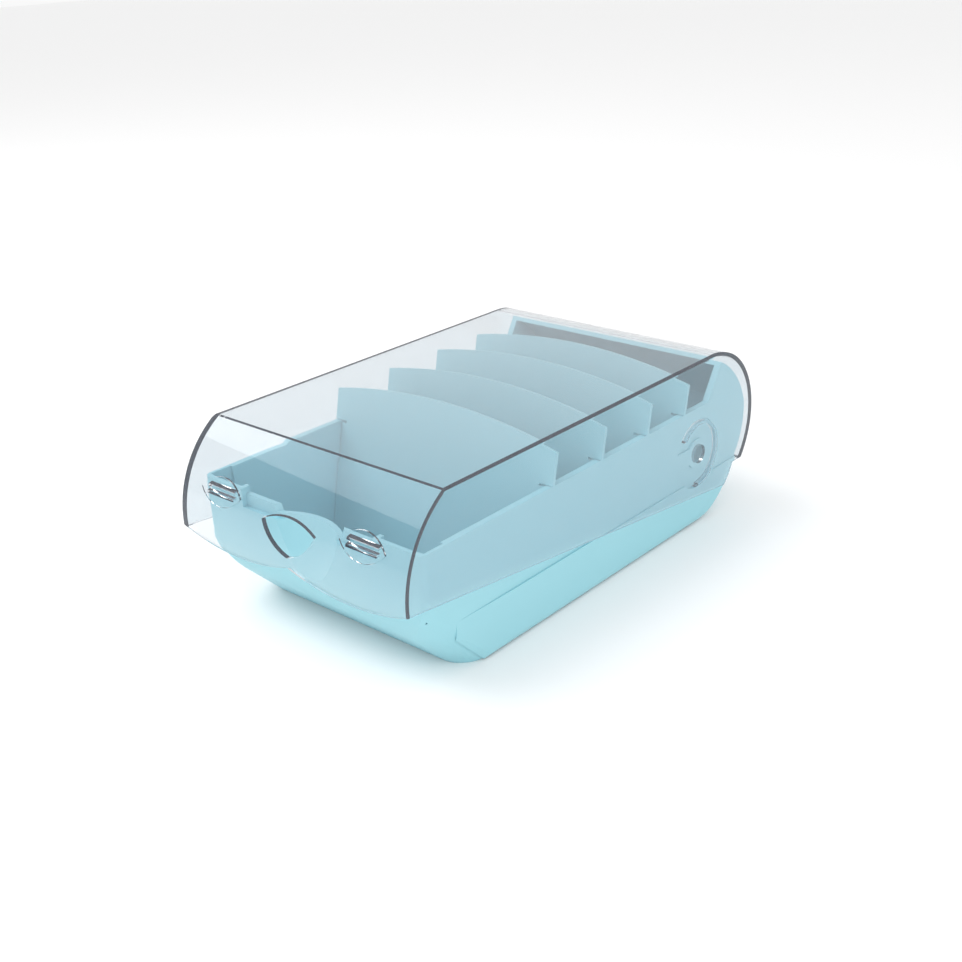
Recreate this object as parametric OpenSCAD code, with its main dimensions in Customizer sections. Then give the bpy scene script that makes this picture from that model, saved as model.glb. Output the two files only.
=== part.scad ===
// Index card file box for small landscape cards: an open tray, a clear lid that swings on two
// moulded pins near the rear, and four loose dividers that hang by their ears on the tray's rims.
// X is across, Y runs from the front (-) to the rear (+), Z is up from the table.

/* [Overall] */
// Width across the outside of the lid
lid_w = 173; // [168:1:180]
// Height of the lid's top face above the table
total_h = 111.5; // [110:0.5:113]
// Distance from the centre to the lid's front and rear faces
half_len = 160.5; // [159:0.5:162]

/* [Lid] */
// Wall thickness of the lid
lid_wall = 2.5; // [2:0.1:2.8]
// Radius of the round edges between the lid's top and sides
lid_edge_r = 2.4; // [1.5:0.1:2.4]
// Radius of the bulging front wall
front_r = 63.8; // [62:0.2:66]
// Radius of the rounded rear
rear_r = 49.5; // [48:0.5:51]
// Height of the lower front corners of the lid
front_corner_z = 54.3; // [50:0.1:58]
// Slope of the lower edge of the side panels
side_edge_deg = 7; // [5:0.5:8]
// Height where the lid's rear wall ends
rear_end_z = 31.5; // [31:0.5:36]
// How far each lobe of the front wall hangs below the corners
lobe_drop = 7.2; // [4:0.2:9]

/* [Finger opening] */
// Height of the two side points of the finger opening
opening_z = 76; // [74:0.5:77]
// Width between the side points
opening_w = 40.4; // [36:0.2:44]
// Height of the opening above its side points
opening_rise = 5; // [3:0.5:6]
// Depth of the opening below its side points
opening_drop = 16; // [13:0.5:17]

/* [Label pads] */
// Distance of each pad from the middle of the front
pad_x = 54; // [48:1:60]
// Height of the middle of each pad
pad_z = 81.2; // [79:0.2:84]
// Length of each pad
pad_len = 32; // [28:1:36]
// Height of each pad
pad_h = 15; // [12:0.5:17]

/* [Tray] */
// Outside width of the tray's upper walls
tray_w = 164; // [160:0.5:165]
// Thickness of the tray's side walls
side_wall = 4; // [3.5:0.1:4.5]
// Thickness of the tray's floor, front and rear
tray_wall = 2.8; // [2.4:0.1:3]
// Height of the front and side rims
rim_z = 80; // [76:0.5:82]
// How far the lower side walls stand out
step_out = 1; // [0.6:0.1:1.2]
// Height of the ledge on the lower side walls
ledge_z = 32.8; // [30:0.2:35]
// Half the width of the set-back part of the front wall
recess_half = 50; // [44:1:56]
// How far that part is set back
recess_depth = 3; // [2:0.2:4]
// Height of the lower edge of the set-back part
recess_z = 69.3; // [66:0.1:72]
// Height of the rim of the set-back part
recess_rim_z = 76.4; // [75:0.2:78]
// Radius of the finger scoop in the front wall
scoop_r = 40; // [36:1:44]
// Depth of the finger scoop at its rim
scoop_depth = 9.5; // [7:0.5:11]

/* [Hinge] */
// Distance of the hinge behind the centre
hinge_y = 100.7; // [100:0.1:102]
// Height of the hinge above the table
hinge_z = 50; // [49.5:0.1:50.5]
// Radius of the lid's hinge pins
pin_r = 6; // [5:0.1:7]
// Radial clearance of the pins in their bores
pin_gap = 0.05; // [0.02:0.01:0.1]
// Radius of the round hinge pocket in the tray's sides
pocket_r = 22.4; // [20:0.2:24]

/* [Dividers] */
// Thickness of a divider
divider_t = 2; // [1.6:0.1:2.4]
// How far the dividers lean backwards
lean_deg = 12; // [8:1:15]
// Distance across a divider's ears
ear_w = 165.2; // [164:0.2:166]
// Height of the middle of a divider's crowned top edge
crown_z = 106.8; // [104:0.2:107]
// How far the crown falls towards the ears
crown_drop = 8.3; // [6:0.1:10]

/* [Hidden] */
$fn = 96;
eps = 0.01;
far = 400;

// centres and depths of the lid's profile; the front bulge is cut off front_top above its centre
front_top = 54.5;
front_c = [front_r - half_len, total_h - front_top];
rear_c = [half_len - rear_r, total_h - rear_r];
lid_corner_r = 43;
lobe_half = lid_w / 4;
lobe_r = (lobe_half * lobe_half + lobe_drop * lobe_drop) / (2 * lobe_drop);

// finger opening: one wide arc above, two tighter arcs that meet in a point below
opening_top_r = (opening_w * opening_w / 4 + opening_rise * opening_rise) / (2 * opening_rise);
opening_low_r = 30;

// label pads
pad_r = (pad_len * pad_len / 4 + pad_h * pad_h / 4) / pad_h;
pad_rise = 0.9;
slot_len = 22;
slot_h = 1.3;
slot_pitch = 3.4;

// tray profile
tray_front = -145;
chin_r = 34;
chin_z = 45;
chin_c = [tray_front + chin_r, chin_z];
tray_rear_r = 45;
tray_heel_r = 48.5;
tray_sweep_r = 57.9;
slope_foot = [111.7, rim_z];
slope_head = [126, 103];
heel_in = 7.2;
floor_end = 14.7;
step_start = -122;
step_full = -76;
corner_r = 4;
chin_edge_r = 18;
sole_edge_r = 5;
scoop_rim_z = 72.6;
scoop_end_z = 40;
inner_corner_r = 1.5;
// thinner side walls beside the front corners
niche_wall = 2;
niche_end = -128;
niche_z = 40;
scoop_tilt = atan(scoop_depth / (scoop_rim_z - scoop_end_z));

// hinge
lid_inner = lid_w / 2 - lid_wall;
pocket_depth = 1.4;
bearing_r = 9.5;
bridge_h = 10.8;
ring_r = 21.4;
ring_t = 2;
ring_depth = 0.9;
ring_mouth = 21;
pin_end = tray_w / 2 - side_wall + 0.4;

// dividers
divider_y = [-43.6, 0.4, 45, 84.4];
divider_fit = 0.5;
ear_gap = 0.2;
ear_relief = [4, 1.5];
foot_z = tray_wall + 0.3;
foot_clip = 4;

lid_tint = [0.80, 0.86, 0.92, 0.4];
tray_tint = [0.47, 0.78, 0.82];
divider_tint = [0.50, 0.80, 0.84];

// Runs a side profile (its x is Y, its y is Z) across the width.
module across(w) {
    rotate([90, 0, 90]) linear_extrude(w, center = true) children();
}

// Runs a front profile (its x is X, its y is Z) along Y, from y0 to y1.
module along(y0, y1) {
    translate([0, y1, 0]) rotate([90, 0, 0]) linear_extrude(y1 - y0) children();
}

module disc(c, r) {
    translate(c) circle(r);
}

// Side profile of the lid, drawn in by d from its outer faces, with no lower edge.
module lid_profile(d) {
    intersection() {
        union() {
            disc(front_c, front_r - d);
            translate([front_c[0], 0]) square([rear_c[0] - front_c[0], total_h - d]);
            disc(rear_c, rear_r - d);
        }
        translate([-far, 0]) square([2 * far, total_h - d]);
    }
}

// Everything below the sloping lower edge of the side panels.
module below_edge() {
    translate([-half_len, front_corner_z]) rotate(-side_edge_deg)
        translate([-10, -far]) square([far, far]);
}

// Solid envelope of the lid, with the long top edges rounded.
module lid_outer() {
    intersection() {
        across(lid_w) lid_profile(0);
        // the rounding rises a little past the top, so that it meets the flat at a clear edge
        along(-far, far) translate([0, total_h + 0.2]) mirror([0, 1]) tray_bar(lid_w, lid_edge_r);
    }
}

// Front view of the finger opening.
module finger_opening() {
    half = opening_w / 2;
    chord = sqrt(half * half + opening_drop * opening_drop);
    reach = sqrt(opening_low_r * opening_low_r - chord * chord / 4);
    low_c = [-half / 2 + reach * opening_drop / chord, opening_z - opening_drop / 2 + reach * half / chord];
    intersection() {
        disc([0, opening_z + opening_rise - opening_top_r], opening_top_r);
        disc(low_c, opening_low_r);
        disc([-low_c[0], low_c[1]], opening_low_r);
    }
}

// Front view of one lens-shaped label pad.
module pad_outline() {
    intersection() {
        disc([0, pad_h / 2 - pad_r], pad_r);
        disc([0, pad_r - pad_h / 2], pad_r);
    }
}

// Front view of what stays of the front wall: two lobes below the corners.
module front_outline() {
    translate([-far / 2, front_corner_z]) square([far, far]);
    for (side = [-1, 1])
        disc([side * lobe_half, front_corner_z - lobe_drop + lobe_r], lobe_r);
}

// Side panels end in an arc about the hinge below the rear wall's end.
module panel_heel() {
    difference() {
        translate([hinge_y, 0]) square([far, rear_end_z]);
        disc([hinge_y, hinge_z], lid_corner_r);
    }
}

module lid_shell() {
    difference() {
        lid_outer();
        across(lid_w - 2 * lid_wall) lid_profile(lid_wall);
        // the front wall hangs lower than the side panels
        difference() {
            across(far) below_edge();
            along(-far, front_c[0]) front_outline();
        }
        // side panels keep their own edge behind the front wall
        intersection() {
            across(far) below_edge();
            translate([-far / 2, -half_len + 3 * lid_wall, 0]) cube([far, far, far]);
        }
        across(far) panel_heel();
        // the rear wall ends higher than the side panels
        across(lid_w - 2 * lid_wall) translate([hinge_y, 0]) square([far, rear_end_z]);
        along(-far, -half_len + 30) finger_opening();
    }
}

module label_pad(side) {
    intersection() {
        across(far) difference() {
            disc(front_c, front_r + pad_rise);
            disc(front_c, front_r - lid_wall / 2);
        }
        translate([side * pad_x, 0, pad_z]) along(-far, front_c[0]) pad_outline();
    }
}

module pad_slots(side) {
    for (row = [-0.5, 0.5])
        translate([side * pad_x, 0, pad_z + row * slot_pitch])
            along(-far, front_c[0] - 30) square([slot_len, slot_h], center = true);
}

// One hinge pin with its ring, on the inner face of a side panel.
module hinge_pin(side) {
    reach = lid_inner - tray_w / 2 + ring_depth;
    translate([side * (lid_inner + eps), hinge_y, hinge_z]) rotate([0, -side * 90, 0])
        cylinder(r = pin_r, h = lid_inner + eps - pin_end);
    difference() {
        translate([side * (lid_inner + eps), hinge_y, hinge_z]) rotate([0, -side * 90, 0]) difference() {
            cylinder(r = ring_r, h = reach + eps);
            translate([0, 0, -1]) cylinder(r = ring_r - ring_t, h = reach + 2);
        }
        // the ring is open towards the front, where the tray keeps a bridge
        translate([-far / 2, hinge_y - ring_r - 1, hinge_z - ring_mouth]) cube([far, ring_r, 1.6 * ring_mouth]);
    }
}

module lid() {
    color(lid_tint) difference() {
        union() {
            lid_shell();
            for (side = [-1, 1]) label_pad(side);
            for (side = [-1, 1]) hinge_pin(side);
        }
        for (side = [-1, 1]) pad_slots(side);
    }
}

// Side profile of the tray, drawn in by d: chin, floor, heel about the hinge and curved rear.
module tray_profile(d) {
    k = (chin_r - d) * sqrt(0.5);
    heel_r = tray_heel_r - d;
    heel_y = hinge_y - heel_in;
    heel_z = hinge_z - sqrt(heel_r * heel_r - heel_in * heel_in) + 1;
    translate([tray_front + d, chin_z]) square([rear_c[0] - tray_front - d, rim_z - chin_z + 5 * d]);
    disc(chin_c, chin_r - d);
    polygon([
        chin_c,
        [chin_c[0] - k, chin_z - k],
        [chin_c[0] - k + (chin_z - k - d), d],
        [hinge_y - floor_end, d],
        [heel_y, heel_z],
        [hinge_y, chin_z]
    ]);
    disc([hinge_y, hinge_z], heel_r);
    intersection() {
        disc(rear_c, tray_rear_r - d);
        disc([hinge_y, hinge_z], tray_sweep_r - d);
    }
}

// Everything above the rims, up to the slope that climbs to the rear wall.
module above_rim() {
    polygon([
        [-far, rim_z],
        slope_foot,
        slope_head,
        [slope_head[0], far],
        [-far, far]
    ]);
}

// Plan of the tray with round front corners.
module tray_plan(w, d, r) {
    front = tray_front + d;
    hull() {
        for (side = [-1, 1]) translate([side * (w / 2 - r), front + r]) circle(r);
        for (side = [-1, 1]) translate([side * (w / 2 - 1), far]) square(2, center = true);
    }
}

// Tray envelope: round front corners, round chin edges and round sole edges.
module tray_solid(w, d, vertical_r, chin_edge, sole_edge) {
    chin_mid = [chin_c[0] - (chin_r - d) * sqrt(0.5), chin_z - (chin_r - d) * sqrt(0.5)];
    intersection() {
        across(w) tray_profile(d);
        translate([0, 0, -1]) linear_extrude(far) tray_plan(w, d, vertical_r);
        // chin edges: a rounded bar that lies along the 45 degree chin
        translate([0, chin_mid[0], chin_mid[1]]) rotate([45, 0, 0])
            translate([0, 0, -far / 2]) linear_extrude(far) tray_bar(w, chin_edge);
        along(-far, far) sole_outline(w, d, sole_edge);
    }
}

// Bar section: flat face at y = 0 with two round corners, open towards +y.
module tray_bar(w, r) {
    translate([-w / 2, r]) square([w, far]);
    translate([r - w / 2, 0]) square([w - 2 * r, far]);
    for (side = [-1, 1]) translate([side * (w / 2 - r), r]) circle(r);
}

module sole_outline(w, d, r) {
    translate([0, d]) tray_bar(w, r);
}

module scoop_cylinder(r) {
    translate([0, tray_front + scoop_depth - scoop_r / cos(scoop_tilt), scoop_rim_z]) rotate([-scoop_tilt, 0, 0])
        cylinder(r = r, h = far, center = true);
}

module tray_cavity() {
    difference() {
        tray_solid(tray_w - 2 * side_wall, tray_wall, inner_corner_r, chin_edge_r - tray_wall, sole_edge_r - 2);
        scoop_cylinder(scoop_r + tray_wall);
        // wall behind the set-back part of the front
        front_block(recess_half + tray_wall, tray_front + recess_depth + tray_wall, recess_z - tray_wall);
    }
    // the rim dips where the finger scoop is
    intersection() {
        scoop_cylinder(scoop_r + tray_wall);
        translate([-far / 2, tray_front - 1, scoop_rim_z]) cube([far, 20, 30]);
    }
    // open top
    intersection() {
        translate([0, 0, rim_z - 1]) linear_extrude(far)
            tray_plan(tray_w - 2 * side_wall, tray_wall, inner_corner_r);
        across(far) above_rim();
    }
}

// Everything in front of y, within half_w of the middle and above z.
module front_block(half_w, y, z) {
    translate([-half_w, -far, z]) cube([2 * half_w, far + y, far]);
}

// Room beside the front corners, where the side wall is thin.
module corner_niche(side) {
    inner = tray_w / 2 - side_wall - 1;
    mirror([side < 0 ? 1 : 0, 0, 0])
        translate([inner, tray_front + tray_wall + 0.4, niche_z])
            cube([tray_w / 2 - niche_wall - inner, niche_end - tray_front - tray_wall - 0.4, far]);
}

// Lower side walls stand out by step_out, from nothing at the front.
module side_step(side) {
    x = tray_w / 2 - 1;
    intersection() {
        across(far) tray_profile(0);
        mirror([side < 0 ? 1 : 0, 0, 0]) linear_extrude(ledge_z) polygon([
            [x, step_start],
            [x + 1, step_start],
            [x + 1 + step_out, step_full],
            [x + 1 + step_out, half_len],
            [x, half_len]
        ]);
        along(-far, far) sole_outline(tray_w + 2 * step_out, 0, sole_edge_r);
        translate([0, chin_c[0] - chin_r * sqrt(0.5), chin_z - chin_r * sqrt(0.5)]) rotate([45, 0, 0])
            translate([0, 0, -far / 2]) linear_extrude(far) tray_bar(tray_w + 2 * step_out, chin_edge_r);
    }
}

// Round pocket for the lid's ring, with a bearing and a bridge left standing.
module hinge_pocket(side) {
    translate([side * (tray_w / 2 + 1), hinge_y, hinge_z]) rotate([0, -side * 90, 0]) {
        difference() {
            cylinder(r = pocket_r, h = 1 + pocket_depth);
            translate([0, 0, -1]) cylinder(r = bearing_r, h = 8);
            translate([-bridge_h / 2, -40, -1]) cube([bridge_h, 40, 8]);
        }
        cylinder(r = pin_r + pin_gap, h = far / 8);
    }
}

module tray() {
    color(tray_tint) difference() {
        union() {
            difference() {
                tray_solid(tray_w, 0, corner_r, chin_edge_r, sole_edge_r);
                across(far) above_rim();
            }
            for (side = [-1, 1]) side_step(side);
        }
        tray_cavity();
        scoop_cylinder(scoop_r);
        front_block(recess_half, tray_front + recess_depth, recess_z);
        front_block(recess_half, tray_front + recess_depth + 2 * tray_wall, recess_rim_z);
        for (side = [-1, 1]) corner_niche(side);
        for (side = [-1, 1]) hinge_pocket(side);
    }
}

// Front view of an upright divider, from its foot to its crown, z measured along the plate.
module divider_outline() {
    lean = cos(lean_deg);
    foot = (foot_z - rim_z) / lean;
    crown = (crown_z - rim_z) / lean;
    drop = crown_drop / lean;
    half = ear_w / 2;
    crown_r = (half * half + drop * drop) / (2 * drop);
    inner = tray_w / 2 - side_wall - divider_fit;
    intersection() {
        difference() {
            translate([-half, foot]) square([ear_w, 2 * crown - foot]);
            for (side = [-1, 1]) scale([side, 1]) {
                // below the ears the plate is narrower, with a short relief under each ear
                translate([inner, foot - 1]) square([half, ear_gap - foot + 1]);
                translate([inner - ear_relief[0], ear_gap - ear_relief[1]])
                    square([half, ear_relief[1]]);
                // clipped foot
                translate([inner - foot_clip, foot]) rotate(-45) square([2 * foot_clip, 2 * foot_clip]);
            }
        }
        disc([0, crown - crown_r], crown_r);
    }
}

module divider(y) {
    translate([0, y, rim_z]) rotate([-lean_deg, 0, 0])
        along(-divider_t / 2, divider_t / 2) divider_outline();
}

module divider_1() {
    color(divider_tint) divider(divider_y[0]);
}

module divider_2() {
    color(divider_tint) divider(divider_y[1]);
}

module divider_3() {
    color(divider_tint) divider(divider_y[2]);
}

module divider_4() {
    color(divider_tint) divider(divider_y[3]);
}

tray();
lid();
divider_1();
divider_2();
divider_3();
divider_4();
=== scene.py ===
import math
import bpy
from mathutils import Matrix, Vector

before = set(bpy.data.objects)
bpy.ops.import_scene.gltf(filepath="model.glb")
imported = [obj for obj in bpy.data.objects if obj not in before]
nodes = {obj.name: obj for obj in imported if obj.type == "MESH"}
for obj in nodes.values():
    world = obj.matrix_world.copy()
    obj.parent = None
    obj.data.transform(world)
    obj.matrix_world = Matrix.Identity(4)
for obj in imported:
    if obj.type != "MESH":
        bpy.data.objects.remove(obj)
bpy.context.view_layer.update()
print("loaded", len(nodes), "CAD nodes")


def plug(tree, slot, value):
    # a node's input takes either a link or a plain value
    if isinstance(value, Sock):
        tree.links.new(value.socket, slot)
    else:
        slot.default_value = value


class Sock:
    # a node's output that can be used in sums: each operator adds one Math node

    def __init__(self, tree, socket):
        self.tree, self.socket = tree, socket

    def math(self, operation, other):
        node = self.tree.nodes.new("ShaderNodeMath")
        node.operation = operation
        plug(self.tree, node.inputs[0], self)
        plug(self.tree, node.inputs[1], other)
        return Sock(self.tree, node.outputs[0])

    def __add__(self, other):
        return self.math("ADD", other)

    def __mul__(self, other):
        return self.math("MULTIPLY", other)

    __radd__ = __add__
    __rmul__ = __mul__


class Shader:
    # a material with one Principled shader; add() makes any other node

    def __init__(self, name, values):
        self.material = bpy.data.materials.new(name)
        self.material.use_nodes = True
        self.tree = self.material.node_tree
        self.tree.nodes.clear()
        self.principled = self.tree.nodes.new("ShaderNodeBsdfPrincipled")
        self.output = self.tree.nodes.new("ShaderNodeOutputMaterial")
        self.feed(self.principled, values)
        self.show(self.body())

    def body(self):
        return Sock(self.tree, self.principled.outputs[0])

    def show(self, shade):
        plug(self.tree, self.output.inputs["Surface"], shade)

    def feed(self, node, values):
        for key, value in values.items():
            plug(self.tree, node.inputs[key], value)

    def add(self, kind, settings, inputs, out=0):
        node = self.tree.nodes.new("ShaderNode" + kind)
        for key, value in settings.items():
            setattr(node, key, value)
        self.feed(node, inputs)
        return Sock(self.tree, node.outputs[out])

    def noise(self, scale, detail):
        place = self.add("TexCoord", {}, {}, out="Object")
        scaled = self.add("Mapping", {}, {"Vector": place, "Scale": (scale,) * 3})
        return self.add("TexNoise", {}, {"Vector": scaled, "Scale": 1.0, "Detail": detail})

    def bump(self, height, settings):
        return self.add("Bump", {}, {
            "Strength": settings["bumpStrength"],
            "Distance": settings["bumpDistance"],
            "Height": height,
        })

    def blend(self, factor, first, second):
        return self.add("MixShader", {}, {0: factor, 1: first, 2: second})


def paint(obj, material):
    obj.data.materials.clear()
    obj.data.materials.append(material)


# opaque moulded plastic, lengths in metres
traySettings = {
    "colour": (0.290, 0.590, 0.660, 1.0),
    "colourWorn": (0.310, 0.610, 0.680, 1.0),
    "index": 1.59,
    "specular": 0.45,
    "roughness": 0.36,
    "cloudScale": 22.0,
    "cloudDetail": 3.0,
    "cloudRoughness": 0.06,
    "grainScale": 900.0,
    "grainDetail": 2.0,
    "grainRoughness": 0.04,
    "bumpStrength": 0.10,
    "bumpDistance": 0.0004,
}

# the dividers get the tray's plastic painted a shade deeper: painted shade for standing
# inside the tray
dividerSettings = dict(traySettings, colour=(0.280, 0.580, 0.645, 1.0))


def mouldedPlastic(name, settings):
    shader = Shader(name, {
        "IOR": settings["index"],
        "Specular IOR Level": settings["specular"],
    })
    cloud = shader.noise(settings["cloudScale"], settings["cloudDetail"])
    grain = shader.noise(settings["grainScale"], settings["grainDetail"])
    # the Mix node's colour inputs are 6 and 7, and its colour output is 2
    colours = {0: cloud, 6: settings["colour"], 7: settings["colourWorn"]}
    base = shader.add("Mix", {"data_type": "RGBA"}, colours, out=2)
    rough = (settings["roughness"] + cloud * settings["cloudRoughness"]
             + grain * settings["grainRoughness"])
    shader.feed(shader.principled, {
        "Base Color": base,
        "Roughness": rough,
        "Normal": shader.bump(grain, settings),
    })
    return shader.material


paint(nodes["tray"], mouldedPlastic("aquaTray", traySettings))
aquaDivider = mouldedPlastic("aquaDivider", dividerSettings)
for number in range(1, 5):
    paint(nodes[f"divider_{number}"], aquaDivider)
print("painted the tray and its dividers")


# clear lid: haze is the share of the milky layer
lidSettings = {
    "tint": (0.86, 0.89, 0.905, 1.0),
    "index": 1.5,
    "roughness": 0.015,
    "cloudScale": 35.0,
    "cloudDetail": 3.0,
    "cloudRoughness": 0.02,
    "rippleScale": 60.0,
    "rippleDetail": 1.0,
    "bumpStrength": 0.05,
    "bumpDistance": 0.0003,
    "haze": 0.04,
    "hazeColour": (0.42, 0.45, 0.54, 1.0),
    "lampTint": (0.93, 0.94, 0.96, 1.0),
}


def clearPlastic(name, settings):
    shader = Shader(name, {
        "Base Color": settings["tint"],
        "IOR": settings["index"],
        "Transmission Weight": 1.0,
    })
    cloud = shader.noise(settings["cloudScale"], settings["cloudDetail"])
    ripple = shader.noise(settings["rippleScale"], settings["rippleDetail"])
    shader.feed(shader.principled, {
        "Roughness": settings["roughness"] + cloud * settings["cloudRoughness"],
        "Normal": shader.bump(ripple, settings),
    })
    milk = shader.add("BsdfDiffuse", {}, {"Color": settings["hazeColour"]})
    panel = shader.blend(settings["haze"], shader.body(), milk)
    # lamps and soft light pass straight through, so the inside isn't dark
    clear = shader.add("BsdfTransparent", {}, {"Color": settings["lampTint"]})
    shadow = shader.add("LightPath", {}, {}, out="Is Shadow Ray")
    diffuse = shader.add("LightPath", {}, {}, out="Is Diffuse Ray")
    shader.show(shader.blend(shadow.math("MAXIMUM", diffuse), panel, clear))
    return shader.material


paint(nodes["lid"], clearPlastic("clearLid", lidSettings))
print("painted the lid")


# angles in degrees, lens and sensor in millimetres
cameraSettings = {
    "place": (0.46640, -0.53010, 0.36060),
    "azimuth": 41.73,
    "elevation": 24.03,
    "roll": -2.316,
    "lens": 47.75,
    "sensor": 36.0,
    "nearest": 0.01,
    "furthest": 50.0,
}


def makeCamera(settings):
    a, e, r = (math.radians(settings[key]) for key in ("azimuth", "elevation", "roll"))
    back = Vector((math.sin(a) * math.cos(e), -math.cos(a) * math.cos(e), math.sin(e)))
    right = Vector((0, 0, 1)).cross(back).normalized()
    up = back.cross(right)
    turnedRight = math.cos(r) * right + math.sin(r) * up
    turnedUp = math.cos(r) * up - math.sin(r) * right
    data = bpy.data.cameras.new("camera")
    data.lens, data.sensor_width = settings["lens"], settings["sensor"]
    data.clip_start, data.clip_end = settings["nearest"], settings["furthest"]
    camera = bpy.data.objects.new("camera", data)
    turn = Matrix([[turnedRight[k], turnedUp[k], back[k]] for k in range(3)])
    camera.matrix_world = Matrix.Translation(settings["place"]) @ turn.to_4x4()
    bpy.context.scene.collection.objects.link(camera)
    bpy.context.scene.camera = camera


makeCamera(cameraSettings)
print("placed the camera")


floorSettings = {
    "reach": 6.0,
    "colour": (0.93, 0.93, 0.93, 1.0),
    "roughness": 0.8,
}


def makeFloor(settings):
    reach = settings["reach"]
    corners = [(-reach, -reach, 0), (reach, -reach, 0), (reach, reach, 0), (-reach, reach, 0)]
    mesh = bpy.data.meshes.new("floor")
    mesh.from_pydata(corners, [], [(0, 1, 2, 3)])
    floor = bpy.data.objects.new("floor", mesh)
    bpy.context.scene.collection.objects.link(floor)
    shader = Shader("floorPaint", {
        "Base Color": settings["colour"],
        "Roughness": settings["roughness"],
    })
    paint(floor, shader.material)


makeFloor(floorSettings)
print("laid the floor")


# square soft boxes that face the middle of the part; power in watts
lampSettings = {
    "target": (0.0, 0.0, 0.05),
    "size": 1.2,
    "lamps": {
        "keyLight": {"place": (-0.9, -0.6, 1.4), "power": 13},
        "fillLight": {"place": (1.4, -0.5, 0.9), "power": 6},
    },
    "sky": (1, 1, 1, 1),
    "skyStrength": 0.95,
}


def makeLamp(name, place, power):
    data = bpy.data.lights.new(name, "AREA")
    data.shape, data.size, data.energy = "SQUARE", lampSettings["size"], power
    lamp = bpy.data.objects.new(name, data)
    lamp.location = place
    lamp.visible_glossy = False  # no hard-edged reflection on the clear panels
    aim = Vector(place) - Vector(lampSettings["target"])
    lamp.rotation_euler = aim.to_track_quat("Z", "Y").to_euler()
    bpy.context.scene.collection.objects.link(lamp)


def makeSky(settings):
    world = bpy.data.worlds.new("studio")
    world.use_nodes = True
    background = world.node_tree.nodes["Background"]
    background.inputs["Color"].default_value = settings["sky"]
    background.inputs["Strength"].default_value = settings["skyStrength"]
    bpy.context.scene.world = world
    bpy.context.scene.view_settings.view_transform = "Standard"


for name, lamp in lampSettings["lamps"].items():
    makeLamp(name, lamp["place"], lamp["power"])
makeSky(lampSettings)
print("lit the scene")
